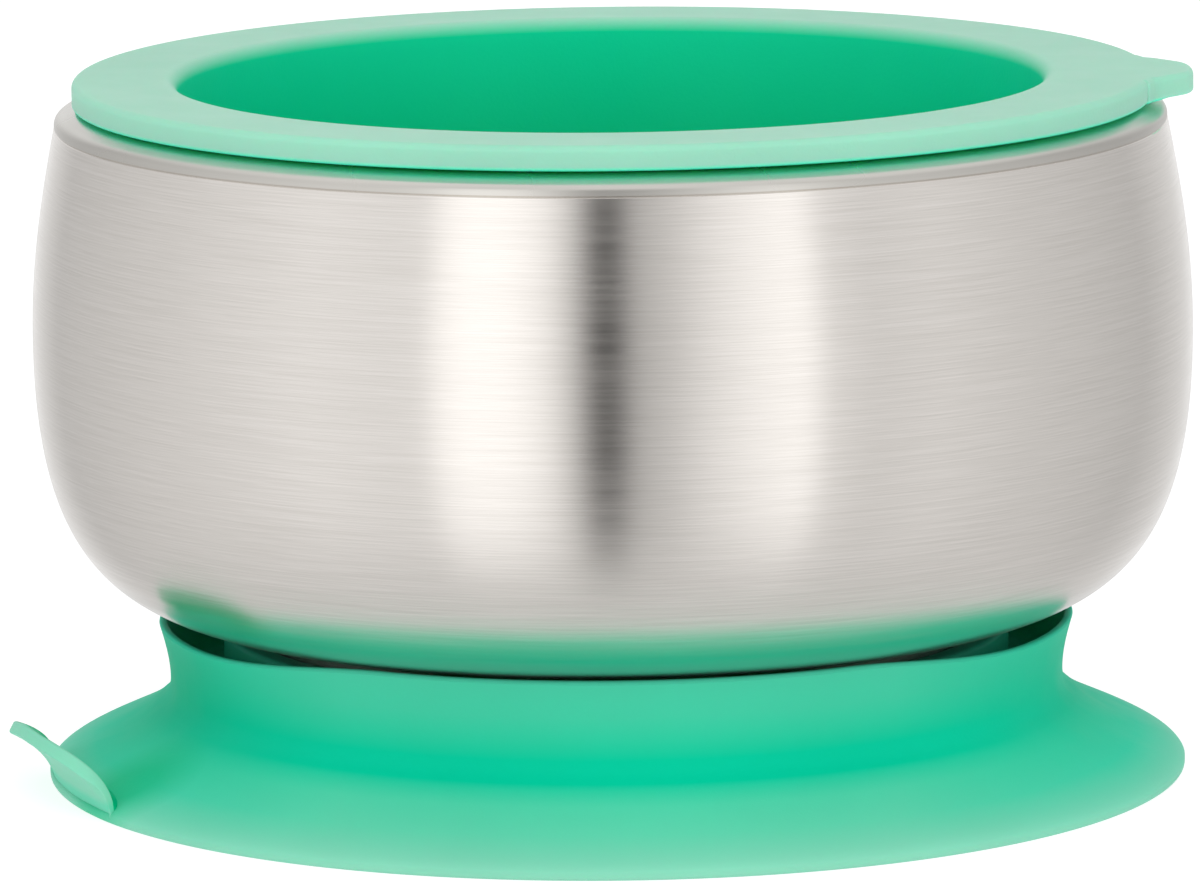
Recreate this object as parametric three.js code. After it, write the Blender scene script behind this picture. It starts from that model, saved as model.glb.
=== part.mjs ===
// A child's suction bowl: a double-walled steel bowl with a silicone lid, standing in a silicone
// suction base. Millimetres, +Z up. The origin is on the table, on the bowl's own axis.
// The lid's pull tab points along +X, and -Y is the front.

import * as THREE from "three";

// ---- driving dimensions ----------------------------------------------------------------------

const SEGMENTS = 48; // facets around each turned piece
const GAP = 0.3; // between pieces that touch
const SHEET = 0.6; // steel sheet

const BELLY = { r: 60, z: 46 }; // widest place of the outer wall
const SHOULDER = { r: 57.4, z: 67.8 }; // crease where the wall turns over into the rim
const RIM_TOP = 69.8;
const RIM_CREST_R = 55.6; // where the shoulder becomes the flat top of the rim
const RIM_SEAM_R = 53; // where the outer shell meets the liner's lip
const FOOT = { r: 38, bottom: 10.3, top: 16.8 };

const MOUTH_R = 50; // inside of the liner at its mouth
const MOUTH_FILLET = 1.5;
const LINER_FLOOR = { r: 28, z: 18.5 };
const LINER_BEND_Z = 47; // below this height the liner curves in

const LID = { r: 55.5, top: 72.6, underside: 70.1, edge: 0.4 };
const WELL = { lip: 46.1, fillet: 1.5, bottomR: 44, floor: 57.6, fillR: 2 };
const PLUG = { top: 47.8, bottom: 47.0, underside: 55.1, corner: 3 };
const SEAL_RIBS = { r: MOUTH_R - GAP, halfRoot: 0.9, halfTip: 0.3, heights: [61.5, 66] };
const PULL_TAB = { rootHalf: 7.6, flank: [58.4, 4.4], reach: 60.1 };

const RIM_R = 59.1; // outer edge of the suction ring
const RIM_EDGE = 0.85; // height of that edge
const RING_INNER_R = 56.8; // flat ring that stands on the table
const DOME = 7.2; // height of the hollow under the middle
const SPLIT_R = 46.1; // the thin ring bends outside this radius, the seat is stiff inside it
const FOLD = { r: 48.2, z: 7 }; // where the skirt turns up into the collar
const WAIST = { r: 46.4, z: 10.6 }; // narrowest place of the collar
const COLLAR = { r: 47.5, top: 17.8, lip: 0.9 };
const COLLAR_DIP = 1.6; // the lip is this much lower at the bowl's two sides than in front and behind
const SEAT_FLOOR = 10;
const GRIP_RING = { inner: FOOT.r + GAP, outer: 40.8, top: 15.2 };

const EAR = { angle: 195.5, half: 12.7, rootR: RIM_R + GAP, reach: 4, rise: 1, rootTop: 4.2, thick: 1.9 };

// ---- materials -------------------------------------------------------------------------------

const lidSilicone = new THREE.MeshStandardMaterial({ color: "#8ddcba", roughness: 0.55, metalness: 0 });
const baseSilicone = new THREE.MeshStandardMaterial({ color: "#3ccb9b", roughness: 0.55, metalness: 0 });
const brushedSteel = new THREE.MeshStandardMaterial({ color: "#d8d3cc", roughness: 0.35, metalness: 1 });
const satinSteel = new THREE.MeshStandardMaterial({ color: "#cfcdc8", roughness: 0.25, metalness: 1 });

// ---- outline helpers: every point is [radius, height] ------------------------------------------

function bend(start, pull, push, end, steps) {
  const [a, b, c, d] = [start, pull, push, end].map(([r, z]) => new THREE.Vector2(r, z));
  return new THREE.CubicBezierCurve(a, b, c, d).getPoints(steps).map((p) => [p.x, p.y]);
}

function arc(centreR, centreZ, radius, fromDegrees, toDegrees, steps) {
  return Array.from({ length: steps + 1 }, (_, i) => {
    const angle = THREE.MathUtils.degToRad(fromDegrees + ((toDegrees - fromDegrees) * i) / steps);
    return [centreR + radius * Math.cos(angle), centreZ + radius * Math.sin(angle)];
  });
}

// Moves an outline sideways by a distance, to the left of its direction, with mitred corners.
function offset(outline, distance) {
  const normals = outline.slice(1).map(([r, z], i) => {
    const [dr, dz] = [r - outline[i][0], z - outline[i][1]];
    const length = Math.hypot(dr, dz);
    return [-dz / length, dr / length];
  });
  return outline.map(([r, z], i) => {
    const before = normals[Math.max(i - 1, 0)];
    const after = normals[Math.min(i, normals.length - 1)];
    const share = distance / (1 + before[0] * after[0] + before[1] * after[1]);
    return [r + (before[0] + after[0]) * share, z + (before[1] + after[1]) * share];
  });
}

// ---- solid helpers ---------------------------------------------------------------------------

function turned(profile) {
  const points = profile.map(([r, z]) => new THREE.Vector2(r, z));
  return new THREE.LatheGeometry(points, SEGMENTS).rotateX(Math.PI / 2);
}

// A solid with rings of corners: each ring is a closed loop of points, and the ends are capped.
function lofted(rings) {
  const corners = rings[0].length;
  const positions = rings.flat(2);
  const faces = [];
  for (let ring = 0; ring < rings.length - 1; ring++) {
    for (let corner = 0; corner < corners; corner++) {
      const next = (corner + 1) % corners;
      const [a, b] = [ring * corners + corner, ring * corners + next];
      faces.push(a, b, b + corners, a, b + corners, a + corners);
    }
  }
  const last = (rings.length - 1) * corners;
  for (let corner = 1; corner < corners - 1; corner++) {
    faces.push(0, corner + 1, corner);
    faces.push(last, last + corner, last + corner + 1);
  }
  const geometry = new THREE.BufferGeometry();
  geometry.setAttribute("position", new THREE.Float32BufferAttribute(positions, 3));
  geometry.setIndex(faces);
  geometry.computeVertexNormals();
  return geometry;
}

function piece(name, geometry, material) {
  const mesh = new THREE.Mesh(geometry, material);
  mesh.name = name;
  return mesh;
}

// ---- steel bowl ------------------------------------------------------------------------------

// Outside of the bowl, from the bottom of the foot to the inner edge of the rim.
function outerShell() {
  const outside = [
    [FOOT.r, FOOT.bottom],
    ...bend([FOOT.r, FOOT.top], [54.5, 17.5], [BELLY.r, 26.5], [BELLY.r, BELLY.z], 10),
    ...bend([BELLY.r, BELLY.z], [BELLY.r, 54], [58.85, 60.5], [SHOULDER.r, SHOULDER.z], 4).slice(1),
    ...bend([SHOULDER.r, SHOULDER.z], [57.4, 69], [56.3, 69.3], [RIM_CREST_R, RIM_TOP], 3).slice(1),
    [RIM_SEAM_R, RIM_TOP],
  ];
  const inside = offset(outside, SHEET).reverse();
  return turned([...outside, ...inside, outside[0]]);
}

// Inside of the bowl, from the middle of its floor over the mouth to the edge of its lip.
function innerLiner() {
  const inside = [
    [0, LINER_FLOOR.z],
    ...bend([LINER_FLOOR.r, LINER_FLOOR.z], [44, LINER_FLOOR.z], [MOUTH_R, 30], [MOUTH_R, LINER_BEND_Z], 7),
    ...arc(MOUTH_R + MOUTH_FILLET, RIM_TOP - MOUTH_FILLET, MOUTH_FILLET, 180, 90, 3),
    [RIM_SEAM_R - GAP, RIM_TOP],
  ];
  const underside = offset(inside, -SHEET);
  underside[0][0] = 0;
  return turned([...underside, ...inside.reverse()]);
}

// Shallow pan that closes the outer shell inside its foot.
function bottomCap() {
  const pan = { r: FOOT.r - SHEET - GAP, skirt: 10.5, top: 12.2 };
  return turned([
    [0, pan.top - SHEET],
    [pan.r - SHEET, pan.top - SHEET],
    [pan.r - SHEET, pan.skirt],
    [pan.r, pan.skirt],
    [pan.r, pan.top],
    [0, pan.top],
  ]);
}

// ---- lid -------------------------------------------------------------------------------------

function sealRibs() {
  const slope = (PLUG.top - PLUG.bottom) / (LID.underside - PLUG.underside - PLUG.corner);
  const wall = (z) => PLUG.bottom + slope * (z - PLUG.underside - PLUG.corner);
  return SEAL_RIBS.heights.flatMap((z) => [
    [wall(z - SEAL_RIBS.halfRoot), z - SEAL_RIBS.halfRoot],
    [SEAL_RIBS.r, z - SEAL_RIBS.halfTip],
    [SEAL_RIBS.r, z + SEAL_RIBS.halfTip],
    [wall(z + SEAL_RIBS.halfRoot), z + SEAL_RIBS.halfRoot],
  ]);
}

function lid() {
  return turned([
    [0, PLUG.underside],
    ...arc(PLUG.bottom - PLUG.corner, PLUG.underside + PLUG.corner, PLUG.corner, -90, 0, 3),
    ...sealRibs(),
    [PLUG.top, LID.underside],
    [LID.r, LID.underside],
    [LID.r, LID.top - LID.edge],
    [LID.r - LID.edge, LID.top],
    ...arc(WELL.lip, LID.top - WELL.fillet, WELL.fillet, 90, 180, 3),
    ...arc(WELL.bottomR - WELL.fillR, WELL.floor + WELL.fillR, WELL.fillR, 0, -90, 3),
    [0, WELL.floor],
  ]);
}

// Flat tongue that carries the flange on past its edge, drawn pointing along +X.
function pullTab() {
  const { rootHalf, flank, reach } = PULL_TAB;
  const [flankX, flankHalf] = flank;
  const rootR = LID.r + GAP;
  const rootX = (y) => Math.sqrt(rootR ** 2 - y ** 2);
  const outline = new THREE.Shape();
  outline.moveTo(rootX(rootHalf), -rootHalf);
  outline.quadraticCurveTo(flankX - 1.8, -flankHalf - 1.2, flankX, -flankHalf);
  outline.quadraticCurveTo(reach - 0.2, -flankHalf + 1, reach, 0);
  outline.quadraticCurveTo(reach - 0.2, flankHalf - 1, flankX, flankHalf);
  outline.quadraticCurveTo(flankX - 1.8, flankHalf + 1.2, rootX(rootHalf), rootHalf);
  for (const y of [0.5, 0, -0.5]) {
    outline.lineTo(rootX(rootHalf * y), rootHalf * y);
  }
  const settings = { depth: LID.top - LID.underside, bevelEnabled: false, curveSegments: 4 };
  return new THREE.ExtrudeGeometry(outline, settings).translate(0, 0, LID.underside);
}

// ---- suction base ----------------------------------------------------------------------------

function domeHeight(r) {
  return DOME * (1 - (r / RING_INNER_R) ** 3);
}

function domeUnderside(fromR, toR, steps) {
  return Array.from({ length: steps + 1 }, (_, i) => {
    const r = fromR + ((toR - fromR) * i) / steps;
    return [r, domeHeight(r)];
  });
}

// Thin ring that flares from the collar to the table and holds on by suction.
function suctionSkirt() {
  const inner = domeUnderside(RING_INNER_R, SPLIT_R, 3);
  return turned([
    ...inner.slice().reverse(),
    [RIM_R, 0],
    ...bend([RIM_R, RIM_EDGE], [58.4, 2.4], [51.5, 4.1], [FOLD.r, FOLD.z], 6),
    ...bend([FOLD.r, FOLD.z], [47.3, 7.8], [SPLIT_R, 8.2], [SPLIT_R, WAIST.z - 2 * GAP], 3).slice(1),
    inner[inner.length - 1],
  ]);
}

// Stiff middle of the base: the floor, the ring that grips the bowl's foot, and the collar.
function bowlSeat() {
  const { r, top, lip } = COLLAR;
  const bevel = GAP;
  const seat = turned([
    ...domeUnderside(0, SPLIT_R - GAP, 5),
    [SPLIT_R - GAP, WAIST.z - GAP],
    [WAIST.r, WAIST.z],
    [WAIST.r + 0.3, 15],
    [r, top - bevel],
    [r - bevel, top],
    [r - lip + bevel, top],
    [r - lip, top - bevel],
    [45, 13],
    [44.4, 11],
    [43.6, SEAT_FLOOR],
    [GRIP_RING.outer, SEAT_FLOOR],
    [GRIP_RING.outer, GRIP_RING.top - bevel],
    [GRIP_RING.outer - bevel, GRIP_RING.top],
    [GRIP_RING.inner + bevel, GRIP_RING.top],
    [GRIP_RING.inner, GRIP_RING.top - bevel],
    [GRIP_RING.inner, SEAT_FLOOR],
    [0, SEAT_FLOOR],
  ]);
  lowerCollarSides(seat);
  return seat;
}

function lowerCollarSides(seat) {
  const corners = seat.attributes.position;
  for (let i = 0; i < corners.count; i++) {
    const [x, y, z] = [corners.getX(i), corners.getY(i), corners.getZ(i)];
    const radius = Math.hypot(x, y);
    const share = (z - WAIST.z) / (COLLAR.top - WAIST.z);
    if (radius < 43.7 || share <= 0) continue;
    const sideways = THREE.MathUtils.smoothstep(Math.abs(x) / radius, 0.5, 0.92);
    corners.setZ(i, z - COLLAR_DIP * share * sideways);
  }
  seat.computeVertexNormals();
}

// Ear that rises from the edge of the skirt, to peel it off the table.
function releaseTab() {
  const steps = 12;
  const rings = Array.from({ length: steps + 1 }, (_, i) => {
    const across = (2 * i) / steps - 1;
    const angle = THREE.MathUtils.degToRad(EAR.angle + EAR.half * across);
    const reach = 0.6 + (EAR.reach - 0.6) * (1 - across ** 2) ** 0.8;
    const lift = EAR.rise * reach;
    const section = [
      [EAR.rootR, EAR.rootTop - EAR.thick],
      [EAR.rootR, EAR.rootTop],
      [EAR.rootR + reach, EAR.rootTop + lift],
      [EAR.rootR + reach, EAR.rootTop + lift - EAR.thick],
    ];
    return section.map(([r, z]) => [r * Math.cos(angle), r * Math.sin(angle), z]);
  });
  return lofted(rings);
}

// ---- assembly --------------------------------------------------------------------------------

const group = new THREE.Group();
group.name = "suction_bowl";

group.add(piece("suction_skirt", suctionSkirt(), baseSilicone));
group.add(piece("release_tab", releaseTab(), baseSilicone));
group.add(piece("bowl_seat", bowlSeat(), baseSilicone));
group.add(piece("outer_shell", outerShell(), brushedSteel));
group.add(piece("bottom_cap", bottomCap(), satinSteel));
group.add(piece("inner_liner", innerLiner(), satinSteel));
group.add(piece("lid", lid(), lidSilicone));
group.add(piece("lid_pull_tab", pullTab(), lidSilicone));

export default group;
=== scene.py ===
"""A child's suction bowl: the looks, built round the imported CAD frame. Shapes are in millimetres."""

import math

import bpy
from mathutils import Matrix, Vector


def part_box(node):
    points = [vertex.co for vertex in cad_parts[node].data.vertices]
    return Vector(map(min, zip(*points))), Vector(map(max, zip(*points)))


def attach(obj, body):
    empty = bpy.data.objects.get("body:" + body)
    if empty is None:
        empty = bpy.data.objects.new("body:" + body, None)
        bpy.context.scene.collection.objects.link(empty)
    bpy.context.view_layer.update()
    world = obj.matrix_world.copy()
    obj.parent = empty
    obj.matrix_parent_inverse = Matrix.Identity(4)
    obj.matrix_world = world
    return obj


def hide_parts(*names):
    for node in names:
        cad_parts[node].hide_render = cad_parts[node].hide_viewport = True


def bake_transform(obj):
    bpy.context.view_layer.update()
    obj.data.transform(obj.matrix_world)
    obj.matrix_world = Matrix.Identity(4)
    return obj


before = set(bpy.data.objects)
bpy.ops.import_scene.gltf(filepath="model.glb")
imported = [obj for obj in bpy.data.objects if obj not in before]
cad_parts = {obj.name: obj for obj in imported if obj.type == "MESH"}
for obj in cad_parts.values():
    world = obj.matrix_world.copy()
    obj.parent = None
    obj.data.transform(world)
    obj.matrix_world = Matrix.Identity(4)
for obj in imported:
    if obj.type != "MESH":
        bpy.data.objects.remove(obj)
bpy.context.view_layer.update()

MM = 0.001
scene = bpy.context.scene
scene.view_settings.view_transform = "Standard"


# ---- sizes from the frame ------------------------------------------------------------------------


def turned_size(node):
    """(outer radius, lowest height, highest height) of a turned CAD node, in millimetres."""
    low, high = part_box(node)
    return high.y / MM, low.z / MM, high.z / MM


BELLY_R, FOOT_BOTTOM, RIM_TOP = turned_size("outer_shell")
LID_R, PLUG_BOTTOM, LID_TOP = turned_size("lid")
LINER_LIP_R, LINER_BOTTOM, _ = turned_size("inner_liner")
CAP_R, CAP_BOTTOM, CAP_TOP = turned_size("bottom_cap")
SKIRT_R, _, _ = turned_size("suction_skirt")
COLLAR_R, _, COLLAR_TOP = turned_size("bowl_seat")
TAB_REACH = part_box("lid_pull_tab")[1].x / MM

SHEET = 0.6  # steel sheet
BELLY_Z = 46  # height of the wall's widest place
FOOT_R = 38
SHOULDER = (57.4, 67.8)  # crease between the brushed wall and the satin rim
LID_UNDERSIDE = RIM_TOP + 0.25
WELL_LIP_R = 46.1  # where the flange's flat top turns down into the well
WELL_FLOOR = 57.6
EAR_ANGLE = math.radians(195.3)
EAR_HALF = math.radians(14)


# ---- outlines: lists of (radius, height) -----------------------------------------------------------


def smooth_step(value, low, high):
    t = min(max((value - low) / (high - low), 0), 1)
    return t * t * (3 - 2 * t)


def bend(start, pull, push, end, steps):
    """Points on a cubic curve, both ends included."""
    points = []
    for i in range(steps + 1):
        t = i / steps
        weights = ((1 - t) ** 3, 3 * t * (1 - t) ** 2, 3 * t * t * (1 - t), t**3)
        corners = (start, pull, push, end)
        points.append(tuple(sum(w * c[k] for w, c in zip(weights, corners)) for k in (0, 1)))
    return points


def arc(centre, radius, start, end, steps):
    """Points on an arc between two angles in degrees, both ends included."""
    points = []
    for i in range(steps + 1):
        angle = math.radians(start + (end - start) * i / steps)
        points.append((centre[0] + radius * math.cos(angle), centre[1] + radius * math.sin(angle)))
    return points


def line(start, end, steps):
    """Points from start towards end, the end left out."""
    return [tuple(a + (b - a) * i / steps for a, b in zip(start, end)) for i in range(steps)]


def offset(outline, distance):
    """The outline moved to the left of its direction, with mitred corners."""
    normals = []
    for (r0, z0), (r1, z1) in zip(outline, outline[1:]):
        length = math.hypot(r1 - r0, z1 - z0)
        normals.append(((z0 - z1) / length, (r1 - r0) / length))
    moved = []
    for i, (r, z) in enumerate(outline):
        before = normals[max(i - 1, 0)]
        after = normals[min(i, len(normals) - 1)]
        share = distance / max(1 + before[0] * after[0] + before[1] * after[1], 0.5)
        moved.append((r + (before[0] + after[0]) * share, z + (before[1] + after[1]) * share))
    return moved


# ---- meshes --------------------------------------------------------------------------------------


def even_angles(count):
    return [2 * math.pi * i / count for i in range(count)]


def make_mesh(name, points, faces, materials, face_materials=None, sharp=35):
    """A piece from points in millimetres. Edges are sharp from so many degrees upwards."""
    mesh = bpy.data.meshes.new(name)
    mesh.from_pydata([Vector(p) * MM for p in points], [], faces)
    for material in materials:
        mesh.materials.append(material)
    if face_materials:
        mesh.polygons.foreach_set("material_index", face_materials)
    mesh.polygons.foreach_set("use_smooth", [True] * len(mesh.polygons))
    mesh.set_sharp_from_angle(angle=math.radians(sharp))
    rest_place = mesh.attributes.new("rest_place", "FLOAT_VECTOR", "POINT")
    rest_place.data.foreach_set("vector", [value * MM for p in points for value in p])
    mesh.update()
    piece = bpy.data.objects.new(name, mesh)
    scene.collection.objects.link(piece)
    return piece


def turned(name, outline, materials, angles=None, warp=None, material_at=None, sharp=35):
    """A closed solid turned about Z. The outline runs anticlockwise with radius to the right, and
    closes on itself or starts and ends on the axis. warp(r, z, angle) may move each point."""
    angles = angles or even_angles(256)
    on_axis = outline[0][0] == 0
    points, rows = [], []
    for r, z in outline:
        if r == 0:
            rows.append([len(points)] * len(angles))
            points.append((0, 0, z))
            continue
        rows.append(list(range(len(points), len(points) + len(angles))))
        for angle in angles:
            wr, wz = warp(r, z, angle) if warp else (r, z)
            points.append((wr * math.cos(angle), wr * math.sin(angle), wz))
    faces, face_materials = [], []
    pairs = len(rows) - 1 if on_axis else len(rows)
    for j in range(pairs):
        low, high = rows[j], rows[(j + 1) % len(rows)]
        index = material_at(j) if material_at else 0
        for i in range(len(angles)):
            k = (i + 1) % len(angles)
            corners = [low[i], low[k], high[k], high[i]]
            faces.append(list(dict.fromkeys(corners)))
            face_materials.append(index)
    return make_mesh(name, points, faces, materials, face_materials, sharp)


# ---- materials -----------------------------------------------------------------------------------


def linear(r, g, b):
    """An sRGB colour, 0 to 255, as a linear shader colour."""
    def channel(c):
        c /= 255
        return c / 12.92 if c <= 0.04045 else ((c + 0.055) / 1.055) ** 2.4
    return (channel(r), channel(g), channel(b), 1)


class Nodes:
    """A short way to build one material's node tree."""

    def __init__(self, name):
        self.material = bpy.data.materials.new(name)
        self.material.use_nodes = True
        self.tree = self.material.node_tree
        self.shader = self.tree.nodes["Principled BSDF"]

    def add(self, kind, **settings):
        node = self.tree.nodes.new(kind)
        for key, value in settings.items():
            setattr(node, key, value)
        return node

    def link(self, source, target):
        self.tree.links.new(source, target)

    def rest_place(self):
        """Where a point of the piece is at rest, in metres, so that a bent piece keeps its colours."""
        return self.add("ShaderNodeAttribute", attribute_name="rest_place").outputs["Vector"]

    def place(self, scale):
        """Resting place, scaled differently along each axis."""
        mapping = self.add("ShaderNodeMapping")
        mapping.inputs["Scale"].default_value = scale
        self.link(self.rest_place(), mapping.inputs["Vector"])
        return mapping.outputs["Vector"]

    def noise(self, scale, detail=3, roughness=0.5, where=(1, 1, 1)):
        node = self.add("ShaderNodeTexNoise")
        node.inputs["Scale"].default_value = scale
        node.inputs["Detail"].default_value = detail
        node.inputs["Roughness"].default_value = roughness
        self.link(self.place(where), node.inputs["Vector"])
        return node.outputs["Fac"]

    def ramp(self, value, *stops):
        node = self.add("ShaderNodeValToRGB")
        elements = node.color_ramp.elements
        while len(elements) < len(stops):
            elements.new(1)
        for element, (position, colour) in zip(elements, stops):
            element.position = position
            element.color = colour
        self.link(value, node.inputs["Fac"])
        return node.outputs["Color"]

    def range(self, value, low, high, out_low, out_high):
        node = self.add("ShaderNodeMapRange")
        limits = {"From Min": low, "From Max": high, "To Min": out_low, "To Max": out_high}
        for key, number in limits.items():
            node.inputs[key].default_value = number
        self.link(value, node.inputs["Value"])
        return node.outputs["Result"]

    def in_mm(self, metres):
        """A length in millimetres, from 0 to 100."""
        return self.range(metres, 0, 100 * MM, 0, 100)

    def mix(self, factor, a, b, blend_type="MIX"):
        node = self.add("ShaderNodeMix", data_type="RGBA", blend_type=blend_type)
        colour_a, colour_b = [s for s in node.inputs if s.type == "RGBA"]
        factor_socket = node.inputs[0]
        for socket, value in ((factor_socket, factor), (colour_a, a), (colour_b, b)):
            if isinstance(value, (tuple, float, int)):
                socket.default_value = value
            else:
                self.link(value, socket)
        return [s for s in node.outputs if s.type == "RGBA"][0]

    def math(self, operation, *values):
        node = self.add("ShaderNodeMath", operation=operation)
        for value, socket in zip(values, node.inputs):
            self.link(value, socket)
        return node.outputs["Value"]

    def bump(self, height, strength, distance, after=None):
        node = self.add("ShaderNodeBump")
        node.inputs["Strength"].default_value = strength
        node.inputs["Distance"].default_value = distance
        self.link(height, node.inputs["Height"])
        if after:
            self.link(after, node.inputs["Normal"])
        return node.outputs["Normal"]


def brushed_steel():
    """Steel brushed round the bowl: fine streaks along the circles, highlights drawn out upright,
    painted shade near the foot.
    """
    nodes = Nodes("brushed_steel")
    shader = nodes.shader
    streaks = nodes.noise(1, detail=4, roughness=0.75, where=(70, 70, 7000))
    bands = nodes.noise(1, detail=2, where=(40, 40, 900))
    light, dark = linear(242, 237, 232), linear(230, 225, 219)
    colour = nodes.ramp(streaks, (0.35, dark), (0.65, light))
    place = nodes.add("ShaderNodeSeparateXYZ")
    nodes.link(nodes.rest_place(), place.inputs["Vector"])
    # Painted shade: the steel turns greyer towards the foot, to dim its reflection of the base.
    foot_shade = nodes.range(place.outputs["Z"], 23.5 * MM, 18.5 * MM, 0, 1)
    nodes.link(nodes.mix(foot_shade, colour, linear(196, 194, 190)), shader.inputs["Base Color"])
    nodes.link(nodes.range(bands, 0.3, 0.7, 0.2, 0.25), shader.inputs["Roughness"])
    nodes.link(nodes.bump(streaks, 0.1, 0.02 * MM), shader.inputs["Normal"])
    shader.inputs["Metallic"].default_value = 1
    shader.inputs["Anisotropic"].default_value = 0.9
    shader.inputs["Anisotropic Rotation"].default_value = 0.25
    tangent = nodes.add("ShaderNodeTangent", direction_type="RADIAL", axis="Z")
    nodes.link(tangent.outputs["Tangent"], shader.inputs["Tangent"])
    return nodes.material


def satin_steel(name, dark, light, roughness, streak_scale):
    """Smooth steel with faint turning marks."""
    nodes = Nodes(name)
    shader = nodes.shader
    marks = nodes.noise(1, detail=3, where=(8, 8, streak_scale))
    smudges = nodes.noise(45, detail=2)
    nodes.link(nodes.ramp(marks, (0.3, dark), (0.7, light)), shader.inputs["Base Color"])
    uneven = nodes.range(smudges, 0.3, 0.7, roughness * 0.85, roughness * 1.2)
    nodes.link(uneven, shader.inputs["Roughness"])
    nodes.link(nodes.bump(marks, 0.05, 0.02 * MM), shader.inputs["Normal"])
    shader.inputs["Metallic"].default_value = 1
    return nodes.material


def silicone(name, colour_at, subsurface=0.2, roughness=0.5, shine=0.06):
    """Matt silicone. colour_at(nodes, radius, height) gives the colour at a place, in millimetres.
    The larger the shine, the more the silicone mirrors."""
    nodes = Nodes(name)
    shader = nodes.shader
    place = nodes.add("ShaderNodeSeparateXYZ")
    nodes.link(nodes.rest_place(), place.inputs["Vector"])
    x, y, z = (place.outputs[axis] for axis in "XYZ")
    squares = nodes.math("ADD", nodes.math("MULTIPLY", x, x), nodes.math("MULTIPLY", y, y))
    radius = nodes.in_mm(nodes.math("SQRT", squares))
    height = nodes.in_mm(z)
    cloud = nodes.ramp(nodes.noise(38, detail=3), (0.3, (0.95, 0.95, 0.95, 1)), (0.7, (1, 1, 1, 1)))
    colour = nodes.mix(1, colour_at(nodes, radius, height), cloud, "MULTIPLY")
    nodes.link(colour, shader.inputs["Base Color"])
    grain = nodes.noise(2600, detail=2)
    waves = nodes.noise(150, detail=2)
    uneven = nodes.range(waves, 0.3, 0.7, roughness * 0.9, roughness * 1.1)
    nodes.link(uneven, shader.inputs["Roughness"])
    fine = nodes.bump(grain, 0.25, 0.06 * MM)
    nodes.link(nodes.bump(waves, 0.06, 0.3 * MM, fine), shader.inputs["Normal"])
    shader.inputs["Subsurface Weight"].default_value = subsurface
    shader.inputs["Subsurface Radius"].default_value = (0.3, 1.0, 0.7)
    shader.inputs["Subsurface Scale"].default_value = 2 * MM
    shader.inputs["IOR"].default_value = 1.41
    shader.inputs["Specular IOR Level"].default_value = shine
    return nodes.material


def by_height(nodes, height, *stops):
    """Colour from (height, colour) stops, in millimetres."""
    low, high = stops[0][0], stops[-1][0]
    share = nodes.range(height, low, high, 0, 1)
    return nodes.ramp(share, *[((z - low) / (high - low), colour) for z, colour in stops])


def base_colour(nodes, radius, height):
    """Pale towards the skirt's thin edge, as painted light through it and off the floor, and deep in
    the fold.
    Painted shade at the two sides and beside the ear.
    """
    rest_place = nodes.rest_place()
    place = nodes.add("ShaderNodeSeparateXYZ")
    nodes.link(rest_place, place.inputs["Vector"])
    # Painted shade: the two sides, away from the front light, take darker, deeper green stops than the
    # front.
    side_shade = nodes.range(nodes.math("ABSOLUTE", place.outputs["X"]), 28 * MM, 52 * MM, 0, 1)
    # Painted light in both ramps: the pale stops at the thin edge stand for light through it and off
    # the floor.
    front = by_height(
        nodes, height,
        (0.2, linear(136, 205, 179)), (3.6, linear(96, 210, 174)), (5.6, linear(80, 208, 170)),
        (7.4, linear(0, 197, 156)), (9.5, linear(0, 197, 156)), (14, linear(68, 200, 164)),
        (17.8, linear(78, 204, 169)),
    )
    sides = by_height(
        nodes, height,
        (0.2, linear(134, 208, 181)), (3.6, linear(42, 208, 168)), (5.6, linear(10, 205, 162)),
        (7.4, linear(0, 200, 157)), (9.5, linear(0, 200, 157)), (14, linear(0, 196, 155)),
        (17.8, linear(30, 202, 164)),
    )
    # Painted shade: deep green on the skirt in the hollow beside the ear's near root.
    from_ear = nodes.add("ShaderNodeVectorMath", operation="DISTANCE")
    nodes.link(rest_place, from_ear.inputs[0])
    ear_corner = EAR_ANGLE + 0.75 * EAR_HALF
    shaded_place = Vector((55 * math.cos(ear_corner), 55 * math.sin(ear_corner), 3)) * MM
    from_ear.inputs[1].default_value = shaded_place
    ear_root_shade = nodes.range(from_ear.outputs["Value"], 3 * MM, 9 * MM, 0.9, 0)
    return nodes.mix(ear_root_shade, nodes.mix(side_shade, front, sides), linear(0, 192, 140))


def ear_colour(nodes, radius, height):
    """Pale, for the ear's lip and underside; on the underside it is painted light from the floor."""
    return by_height(nodes, height, (1.8, linear(104, 210, 176)), (2.6, linear(130, 208, 179)))


def shaded_ear_face_colour(nodes, radius, height):
    """Deep green, for the ear's dished upper face: painted shade in the dish."""
    return by_height(nodes, height, (2, linear(0, 190, 138)), (8, linear(40, 192, 142)))


def lid_colour(nodes, radius, height):
    """Pale on the flange, with a brighter underside and side as painted light. Inside the well it
    deepens from the lip down as painted shade.
    """
    # Painted shade: the well's colour darkens from the lip down.
    inside = by_height(
        nodes, height,
        (60, linear(0, 188, 138)), (71.2, linear(0, 207, 160)), (72.5, linear(149, 205, 181)),
    )
    # Painted light: the underside glows bright green, as light shining through the flange, and the
    # side is a touch brighter than the top.
    flange = by_height(
        nodes, height,
        (68.6, linear(60, 206, 166)), (69.9, linear(70, 255, 200)), (70.1, linear(70, 255, 200)),
        (70.5, linear(150, 208, 185)), (72, linear(150, 208, 185)), (72.6, linear(149, 205, 181)),
    )
    on_flange = nodes.range(radius, WELL_LIP_R + 0.1, WELL_LIP_R + 0.5, 0, 1)
    return nodes.mix(on_flange, inside, flange)


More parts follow.
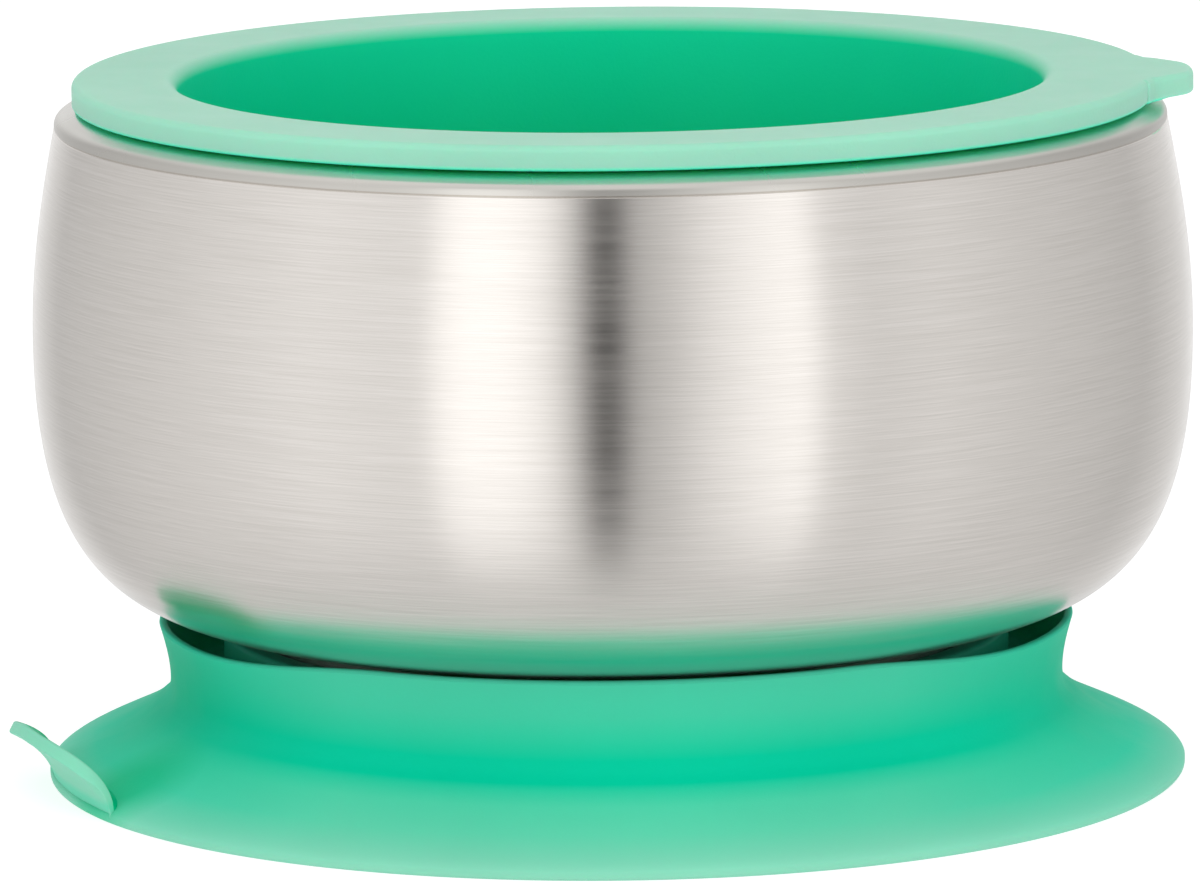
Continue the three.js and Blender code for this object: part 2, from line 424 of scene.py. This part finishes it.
steel_wall_material = brushed_steel()
shoulder_material = satin_steel(
    "shoulder_steel", linear(206, 203, 197), linear(220, 217, 211), roughness=0.28, streak_scale=900
)
liner_material = satin_steel(
    "satin_steel", linear(222, 219, 214), linear(236, 233, 229), roughness=0.22, streak_scale=1500
)
base_material = silicone("base_silicone", base_colour)
# The ear's lip and face are lit and shaded copies of one silicone: painted light below, painted shade
# in the dish.
ear_material = silicone("ear_silicone", ear_colour)
shaded_ear_face_material = silicone("ear_face_silicone", shaded_ear_face_colour)
lid_material = silicone("lid_silicone", lid_colour, subsurface=0.6, roughness=0.45, shine=0.2)


# ---- camera --------------------------------------------------------------------------------------

CAMERA_DISTANCE = 1.0271  # in metres, like the target
CAMERA_ELEVATION = math.radians(9.595)
CAMERA_ROLL = math.radians(0.65)
TARGET = Vector((-0.00146, 0, 0.03372))

camera_data = bpy.data.cameras.new("camera")
camera_data.sensor_width = 36
camera_data.lens = 296.9
camera_data.clip_start = 0.05
camera_data.clip_end = 50
camera = bpy.data.objects.new("camera", camera_data)
scene.collection.objects.link(camera)
back = Vector((0, -math.cos(CAMERA_ELEVATION), math.sin(CAMERA_ELEVATION)))
eye = Vector((0, 0, TARGET.z)) + back * CAMERA_DISTANCE
aim = (TARGET - eye).to_track_quat("-Z", "Y").to_matrix()
turned_aim = aim @ Matrix.Rotation(-CAMERA_ROLL, 3, "Z")
camera.matrix_world = Matrix.Translation(eye) @ turned_aim.to_4x4()
scene.camera = camera


# ---- steel bowl ----------------------------------------------------------------------------------


def steel_wall():
    """Outer shell: foot, brushed wall, satin shoulder and rim."""
    foot = line((FOOT_R, FOOT_BOTTOM), (FOOT_R, 16.2), 4) + [(FOOT_R, 16.2)]
    flare = bend((FOOT_R + 0.6, 16.82), (54.5, 17.2), (BELLY_R, 26.5), (BELLY_R, BELLY_Z), 48)
    wall_end = (SHOULDER[0] + 0.03, SHOULDER[1] - 0.12)
    wall = bend((BELLY_R, BELLY_Z), (BELLY_R, 54), (58.85, 60.5), wall_end, 26)
    crease = [(SHOULDER[0] - 0.12, SHOULDER[1])]
    shoulder_start = (SHOULDER[0] - 0.02, SHOULDER[1] + 0.12)
    shoulder = bend(shoulder_start, (57.42, 68.45), (57.3, 68.8), (56.7, 69.05), 12)
    shoulder += bend((56.5, 69.13), (55.8, 69.4), (55.2, RIM_TOP), (54.3, RIM_TOP), 8)
    rim = [(53.1, RIM_TOP), (53, RIM_TOP - 0.1)]
    outside = foot + flare + wall[1:] + crease + shoulder + rim
    shoulder_from = len(foot) + len(flare) + len(wall) - 1
    inside = offset(outside, SHEET)[::-1]

    def material_at(j):
        return 1 if shoulder_from <= j < len(outside) else 0

    materials = [steel_wall_material, shoulder_material]
    outline = outside + inside
    wall_piece = turned("steel_wall", outline, materials, material_at=material_at, sharp=28)
    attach(wall_piece, "bowl")
    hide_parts("outer_shell")


def food_liner():
    """Inner liner, from the middle of its floor over the mouth to its lip."""
    floor_r, floor_z = 28, LINER_BOTTOM + SHEET
    mouth_r, wall_z, mouth_bend = 50, 47, 1.5
    inside = (
        [(0, floor_z)]
        + line((2, floor_z), (floor_r, floor_z), 8)
        + bend((floor_r, floor_z), (44, floor_z), (mouth_r, 30), (mouth_r, wall_z), 32)
        + line((mouth_r, wall_z), (mouth_r, RIM_TOP - mouth_bend), 10)[1:]
        + arc((mouth_r + mouth_bend, RIM_TOP - mouth_bend), mouth_bend, 180, 90, 8)
        + [(LINER_LIP_R, RIM_TOP)]
    )
    underside = offset(inside, -SHEET)
    underside[0] = (0, underside[0][1])
    liner = turned("food_liner", underside + inside[::-1], [liner_material], sharp=30)
    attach(liner, "bowl")
    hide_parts("inner_liner")


def foot_pan():
    """Pan that closes the bottom, pressed with two shallow rings."""
    ring_radii, ring_height, ring_width = (14, 27), 0.35, 1.1
    corner = 1.2

    def pressed(r):
        return ring_height * sum(math.exp(-(((r - ring) / ring_width) ** 2)) for ring in ring_radii)

    top = [(0, CAP_TOP)] + [(r, CAP_TOP + pressed(r)) for r in [i * 0.7 for i in range(1, 50)]]
    top += arc((CAP_R - corner, CAP_TOP - corner), corner, 90, 0, 5) + [(CAP_R, CAP_BOTTOM)]
    below = offset(top, -SHEET)
    below[0] = (0, below[0][1])
    pan = turned("foot_pan", below + top[::-1], [liner_material], sharp=30)
    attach(pan, "bowl")
    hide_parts("bottom_cap")


steel_wall()
food_liner()
foot_pan()


# ---- lid -----------------------------------------------------------------------------------------

TAB_ANGLE = math.radians(-0.7)
TAB_SWELL = 0.4  # the flange is this much wider beside the tab
TAB_ROOT = (55.2, 10)  # along and across the tab, where its flank leaves the flange
TAB_NOTCH = (55.9, 8.1)  # where the flank turns outwards
TAB_FLANK = (58.6, 5.3)  # where the flank turns into the round tip


def tab_outline():
    """Half of the tab's outline as (angle away from its middle, radius), from the root to the tip."""
    root = line(TAB_ROOT, TAB_NOTCH, 8)
    flank = bend(TAB_NOTCH, (56.9, 7.7), (57.8, 6.3), TAB_FLANK, 12)[1:]
    tip = bend(TAB_FLANK, (59.5, 4.2), (TAB_REACH, 3.3), (TAB_REACH, 0), 16)[1:]
    points = root + flank + tip
    return [(math.atan2(across, along), math.hypot(along, across)) for along, across in points]


TAB_OUTLINE = tab_outline()


def tab_reach(angle):
    """How far the flange goes out at an angle: its own radius, or further on the tab."""
    away = abs(math.remainder(angle - TAB_ANGLE, 2 * math.pi))
    flange = LID_R + TAB_SWELL * smooth_step(math.cos(away), 0.6, 0.95)
    for (wide, near), (narrow, far) in zip(TAB_OUTLINE, TAB_OUTLINE[1:]):
        if narrow <= away <= wide:
            return max(flange, near + (far - near) * (wide - away) / (wide - narrow))
    return flange


def lid_cover():
    """Flange with its pull tab, recessed well, and plug with two seal ribs: one moulding."""
    edge, top_edge = 0.3, 0.7  # radii of the flange's lower and upper edges
    plug_r, plug_corner, fillet = 47, 3, 0.6
    well_r, well_corner, lip_bend = 44, 2, 1.5
    ribs = []
    for z in (61.5, 66):
        ribs += [(plug_r + 0.4, z - 1.0), (plug_r + 0.9, z - 0.75)]
        ribs += bend((48.6, z - 0.55), (49.7, z - 0.4), (49.7, z + 0.4), (48.6, z + 0.55), 8)
        ribs += [(plug_r + 0.9, z + 0.75), (plug_r + 0.5, z + 1.0)]
    outline = (
        [(0, PLUG_BOTTOM)]
        + line((2, PLUG_BOTTOM), (plug_r - plug_corner, PLUG_BOTTOM), 10)
        + arc((plug_r - plug_corner, PLUG_BOTTOM + plug_corner), plug_corner, -90, 0, 8)
        + ribs
        + arc((48.4, LID_UNDERSIDE - fillet), fillet, 180, 90, 4)
        + line((49.4, LID_UNDERSIDE), (LID_R - edge, LID_UNDERSIDE), 12)
        + arc((LID_R - edge, LID_UNDERSIDE + edge), edge, -90, 0, 5)
        + line((LID_R, LID_UNDERSIDE + edge), (LID_R, LID_TOP - top_edge), 4)[1:]
        + arc((LID_R - top_edge, LID_TOP - top_edge), top_edge, 0, 90, 8)
        + line((LID_R - top_edge, LID_TOP), (WELL_LIP_R, LID_TOP), 14)[1:]
        + arc((WELL_LIP_R, LID_TOP - lip_bend), lip_bend, 90, 180, 10)
        + line((WELL_LIP_R - lip_bend, LID_TOP - lip_bend), (well_r, WELL_FLOOR + well_corner), 8)[1:]
        + arc((well_r - well_corner, WELL_FLOOR + well_corner), well_corner, 0, -90, 8)
        + line((well_r - well_corner, WELL_FLOOR), (0, WELL_FLOOR), 12)[1:]
        + [(0, WELL_FLOOR)]
    )
    root_r = 53.5  # inside this radius the flange is plainly round

    def warp(r, z, angle):
        if r <= root_r:
            return r, z
        reach = tab_reach(angle)
        flat_r = LID_R - top_edge
        stretch = (reach - top_edge - root_r) / (flat_r - root_r)
        stretched = root_r + (min(r, flat_r) - root_r) * stretch + max(r - flat_r, 0)
        tab_here = smooth_step(reach, LID_R + 1, LID_R + 2.5)
        on_tab = tab_here * smooth_step(stretched, LID_R - 1, LID_R + 1)
        lift = 0.25 * on_tab * (LID_TOP - z) / (LID_TOP - LID_UNDERSIDE)
        return stretched, z + lift

    # Every 0.2 degrees for 12 degrees either side of the tab's middle, about 1.5 degrees elsewhere.
    near_tab = [TAB_ANGLE + math.radians(-12 + 0.2 * i) for i in range(121)]
    rest = [TAB_ANGLE + math.radians(12 + 336 * i / 220) for i in range(1, 220)]
    cover = turned("lid_cover", outline, [lid_material], angles=near_tab + rest, warp=warp)
    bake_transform(cover)
    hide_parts("lid", "lid_pull_tab")


lid_cover()


# ---- suction base --------------------------------------------------------------------------------

RIM_EDGE = 0.85  # height of the skirt's upper face at its edge
FOLD = (48.2, 7)  # where the skirt turns up into the collar
WAIST = (46.4, 10)  # narrowest place of the collar
SEAT_FLOOR = 10
SEAT_R = 43.5  # inside this radius the base is plainly round
COLLAR_DIP = 1.6


def dome_height(r):
    """Height of the hollow under the base at a radius."""
    return 7.2 * (1 - (r / 56.8) ** 3)


SKIRT_CURVE = bend((SKIRT_R, RIM_EDGE), (58.4, 2.4), (51.5, 4.1), FOLD, 40)


def skirt_height(r):
    """Height of the skirt's upper face at a radius."""
    for (r0, z0), (r1, z1) in zip(SKIRT_CURVE, SKIRT_CURVE[1:]):
        if r1 <= r <= r0:
            return z0 + (z1 - z0) * (r0 - r) / (r0 - r1)
    return RIM_EDGE


def side_dip(r, z, angle):
    """The collar's lip is lower at the bowl's two sides than in front and behind."""
    share = (z - WAIST[1]) / (COLLAR_TOP - WAIST[1])
    if r < SEAT_R or share < 0:
        return r, z
    return r, z - COLLAR_DIP * share * smooth_step(abs(math.cos(angle)), 0.5, 0.92)


def base_cup():
    """Skirt, collar, floor and the ring that grips the bowl's foot: one moulding."""
    rim_round = 0.4
    lip_inside, lip_round = COLLAR_R - 0.9, 0.35
    grip_outside, grip_inside, grip_top, grip_round = 40.8, 38.3, 14.7, 0.5
    outline = (
        [(0, dome_height(0))]
        + [(r, dome_height(r)) for r in [1.6 * i for i in range(1, 36)]]
        + [(57.0, 0.05), (57.3, 0), (SKIRT_R - rim_round, 0)]
        + arc((SKIRT_R - rim_round, rim_round), rim_round, -90, 0, 4)
        + SKIRT_CURVE[:-1]
        + bend(FOLD, (47.3, 7.8), (WAIST[0], 8.3), WAIST, 14)[:-1]
        + bend(WAIST, (46.4, 12.5), (46.9, 15), (COLLAR_R - 0.02, COLLAR_TOP - 0.4), 14)
        + arc((COLLAR_R - 0.4, COLLAR_TOP - lip_round), lip_round, 0, 90, 5)
        + arc((lip_inside + lip_round, COLLAR_TOP - lip_round), lip_round, 90, 180, 5)
        + bend((lip_inside, COLLAR_TOP - 0.4), (45.2, 13), (44.8, SEAT_FLOOR), (43.2, SEAT_FLOOR), 14)
        + line((43, SEAT_FLOOR), (grip_outside + grip_round, SEAT_FLOOR), 3)
        + arc((grip_outside + grip_round, SEAT_FLOOR + grip_round), grip_round, -90, -180, 4)
        + line((grip_outside, SEAT_FLOOR + 0.6), (grip_outside, grip_top), 4)[1:]
        + arc((grip_outside - grip_round, grip_top), grip_round, 0, 90, 5)
        + arc((grip_inside + grip_round, grip_top), grip_round, 90, 180, 5)
        + line((grip_inside, grip_top - 0.1), (grip_inside, SEAT_FLOOR + 0.3), 4)[1:]
        + [(38.2, SEAT_FLOOR + 0.05), (37.9, SEAT_FLOOR)]
        + line((37, SEAT_FLOOR), (1, SEAT_FLOOR), 12)
        + [(0, SEAT_FLOOR)]
    )
    cup = turned("base_cup", outline, [base_material], angles=even_angles(288), warp=side_dip)
    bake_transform(cup)
    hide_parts("suction_skirt", "bowl_seat")


def peel_ear():
    """Ear on the skirt's edge: a dished tab that leans up and out and ends in a square lip."""
    root_r, root_z, reach = 58.8, 1.2, 4.4
    corner = 0.3
    across_steps, along_steps = 96, 24

    def moved(point, lean, out, fall=0):
        """A point moved along the lip's direction and square to it."""
        along, across = math.cos(lean), math.sin(lean)
        return point[0] + out * along + fall * across, point[1] + out * across - fall * along

    rings = []
    for i in range(across_steps + 1):
        s = -math.cos(math.pi * i / across_steps)  # from -1 at one end of the ear to 1 at the other
        angle = EAR_ANGLE + EAR_HALF * s
        share = max(1 - abs(s) ** 3, 0) ** 0.5  # 0 at both ends, 1 in the middle
        lean = math.radians(54 - 28 * share)
        thick = 0.6 + 0.8 * smooth_step(share, 0, 0.6)
        rise = (7 + 2.1 * min(s, 0)) * share ** (0.43 + 0.07 * s)
        edge = moved((root_r + reach * share, root_z + rise), lean, -corner)
        start_r = root_r - 0.4 - 2.8 * share
        start = (start_r, skirt_height(start_r) - 0.6)  # hidden inside the skirt
        start_pull = (root_r - 0.2 - 0.4 * share, 1.2 + 1.3 * share)
        upper = bend(start, start_pull, moved(edge, lean, -3 * share), edge, along_steps)
        lip = [
            moved(edge, lean, corner * math.cos(turn), deep - corner * math.sin(turn))
            for deep, first in ((corner, 90), (thick - corner, 0))
            for turn in [math.radians(first - 18 * k) for k in range(6)]
        ]
        lip_pull = moved(lip[-1], lean, -3 * share)
        rim_pull = (root_r + 0.5 * share, 0.3 + 2.8 * share)
        lower = bend(lip[-1], lip_pull, rim_pull, (root_r - 0.1, 0.25), along_steps)
        outline = upper + lip[1:] + lower[1:]
        rings.append([(r * math.cos(angle), r * math.sin(angle), z) for r, z in outline])
    count = len(rings[0])
    points = [p for ring in rings for p in ring]
    faces = []
    for i in range(across_steps):
        for j in range(count):
            k = (j + 1) % count
            a, b = i * count, (i + 1) * count
            faces.append((a + j, a + k, b + k, b + j))
    faces.append(tuple(range(count - 1, -1, -1)))
    faces.append(tuple(across_steps * count + j for j in range(count)))
    on_upper_face = [int(n % count < along_steps) for n in range(across_steps * count)] + [0, 0]
    materials = [ear_material, shaded_ear_face_material]
    ear = make_mesh("peel_ear", points, faces, materials, on_upper_face, sharp=50)
    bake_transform(ear)
    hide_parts("release_tab")


base_cup()
peel_ear()


# ---- studio --------------------------------------------------------------------------------------


def studio_floor():
    """Pale, evenly lit floor that runs out past the picture. The steel doesn't mirror it."""
    nodes = Nodes("floor")
    nodes.shader.inputs["Base Color"].default_value = (0.35, 0.35, 0.35, 1)
    nodes.shader.inputs["Roughness"].default_value = 1
    nodes.shader.inputs["Specular IOR Level"].default_value = 0
    nodes.shader.inputs["Emission Color"].default_value = (1, 1, 1, 1)
    nodes.shader.inputs["Emission Strength"].default_value = 0.78
    half = 6000
    corners = [(-half, -half, 0), (half, -half, 0), (half, half, 0), (-half, half, 0)]
    floor = make_mesh("floor", corners, [(0, 1, 2, 3)], [nodes.material])
    floor.visible_glossy = False


# Brightness of the studio round the bowl, by direction in degrees: 0 is behind the camera,
# positive to the right. Two soft boxes stand either side of a dark gap.
STUDIO = (
    (-180, 1.0), (-143, 0.56), (-95, 0.74), (-62, 0.9), (-44, 0.86), (-38, 0.87), (-34, 1.18),
    (-29, 1.3), (-20, 1.26), (-13, 1.06), (-7.5, 0.64), (-3.5, 0.05), (0.5, 0.05), (4.5, 0.5),
    (11, 0.63), (19, 0.88), (28, 1.08), (37, 1.22), (40, 1.1), (43, 0.84), (52, 0.74),
    (68, 0.78), (90, 0.68), (130, 0.54), (155, 0.72), (180, 1.0),
)
# The same brightness all round takes over below and above: the upright part of the direction where
# it starts, where it is complete, and the brightness.
BELOW = (-0.3, -0.8, 0.66)
ABOVE = (0.45, 0.8, 0.92)


def studio_world():
    """The surroundings that light the bowl and are mirrored in its steel."""
    world = bpy.data.worlds.new("studio")
    scene.world = world
    world.use_nodes = True
    tree = world.node_tree
    add, link = tree.nodes.new, tree.links.new
    direction = add("ShaderNodeTexCoord")
    split = add("ShaderNodeSeparateXYZ")
    link(direction.outputs["Generated"], split.inputs["Vector"])
    flip = add("ShaderNodeMath")
    flip.operation = "MULTIPLY"
    flip.inputs[1].default_value = -1
    link(split.outputs["Y"], flip.inputs[0])
    angle = add("ShaderNodeMath")
    angle.operation = "ARCTAN2"
    link(split.outputs["X"], angle.inputs[0])
    link(flip.outputs["Value"], angle.inputs[1])
    turn = add("ShaderNodeMapRange")
    turn.inputs["From Min"].default_value = -math.pi
    turn.inputs["From Max"].default_value = math.pi
    link(angle.outputs["Value"], turn.inputs["Value"])
    around = add("ShaderNodeValToRGB")
    elements = around.color_ramp.elements
    while len(elements) < len(STUDIO):
        elements.new(1)
    for element, (degrees, level) in zip(elements, STUDIO):
        element.position = (degrees + 180) / 360
        element.color = (level, level, level, 1)
    link(turn.outputs["Result"], around.inputs["Fac"])
    colours = around.outputs["Color"]
    for start, end, level in (BELOW, ABOVE):
        share = add("ShaderNodeMapRange")
        share.interpolation_type = "SMOOTHSTEP"
        share.inputs["From Min"].default_value = start
        share.inputs["From Max"].default_value = end
        link(split.outputs["Z"], share.inputs["Value"])
        mixed = add("ShaderNodeMix")
        mixed.data_type = "RGBA"
        colour_a, colour_b = [s for s in mixed.inputs if s.type == "RGBA"]
        colour_b.default_value = (level, level, level, 1)
        link(share.outputs["Result"], mixed.inputs[0])
        link(colours, colour_a)
        colours = [s for s in mixed.outputs if s.type == "RGBA"][0]
    link(colours, tree.nodes["Background"].inputs["Color"])


def front_light():
    """Soft light from in front and above. The steel doesn't mirror it, so it is for the silicone."""
    data = bpy.data.lights.new("front_light", "AREA")
    data.size = 0.35  # in metres, like its place
    data.energy = 1.9
    light = bpy.data.objects.new("front_light", data)
    scene.collection.objects.link(light)
    light.location = (0.05, -0.62, 0.5)
    light.rotation_euler = (-light.location).to_track_quat("-Z", "Y").to_euler()
    light.visible_camera = False
    light.visible_glossy = False


studio_floor()
studio_world()
front_light()
